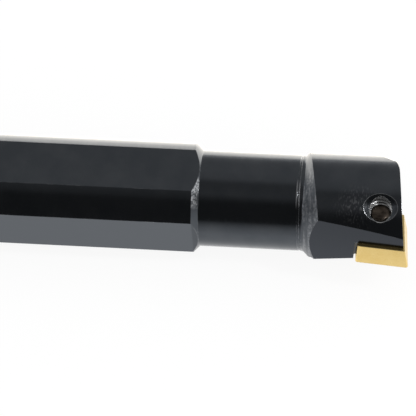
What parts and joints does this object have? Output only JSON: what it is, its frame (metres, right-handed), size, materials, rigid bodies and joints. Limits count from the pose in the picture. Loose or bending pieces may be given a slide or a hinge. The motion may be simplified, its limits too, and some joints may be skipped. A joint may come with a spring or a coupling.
{
  "type": "boring bar",
  "caption": "Right-hand boring bar with a round flatted shank, a turned-down neck and a shifted head that holds a screwed-on rhombic cutting insert.",
  "frame": {"origin": "centre of the shank's rear end face, on the shank's axis", "axes": "+X along the shank's axis towards the cutting tip; the cutting side looks to -Y; the bar lies on its top flat, so the insert's rake face looks down (-Z) and the underside of the head looks up (+Z)"},
  "size_m": [0.2, 0.023, 0.0197],
  "materials": {
    "black_oxide_steel": "black oxide over turned and ground steel, satin",
    "coated_carbide": "golden nitride coating over sintered carbide, satin",
    "screw_steel": "oiled dark steel"
  },
  "bodies": {
    "root": {"bar": "black_oxide_steel", "insert": "coated_carbide", "clamp_screw": "screw_steel"}
  },
  "joints": []
}
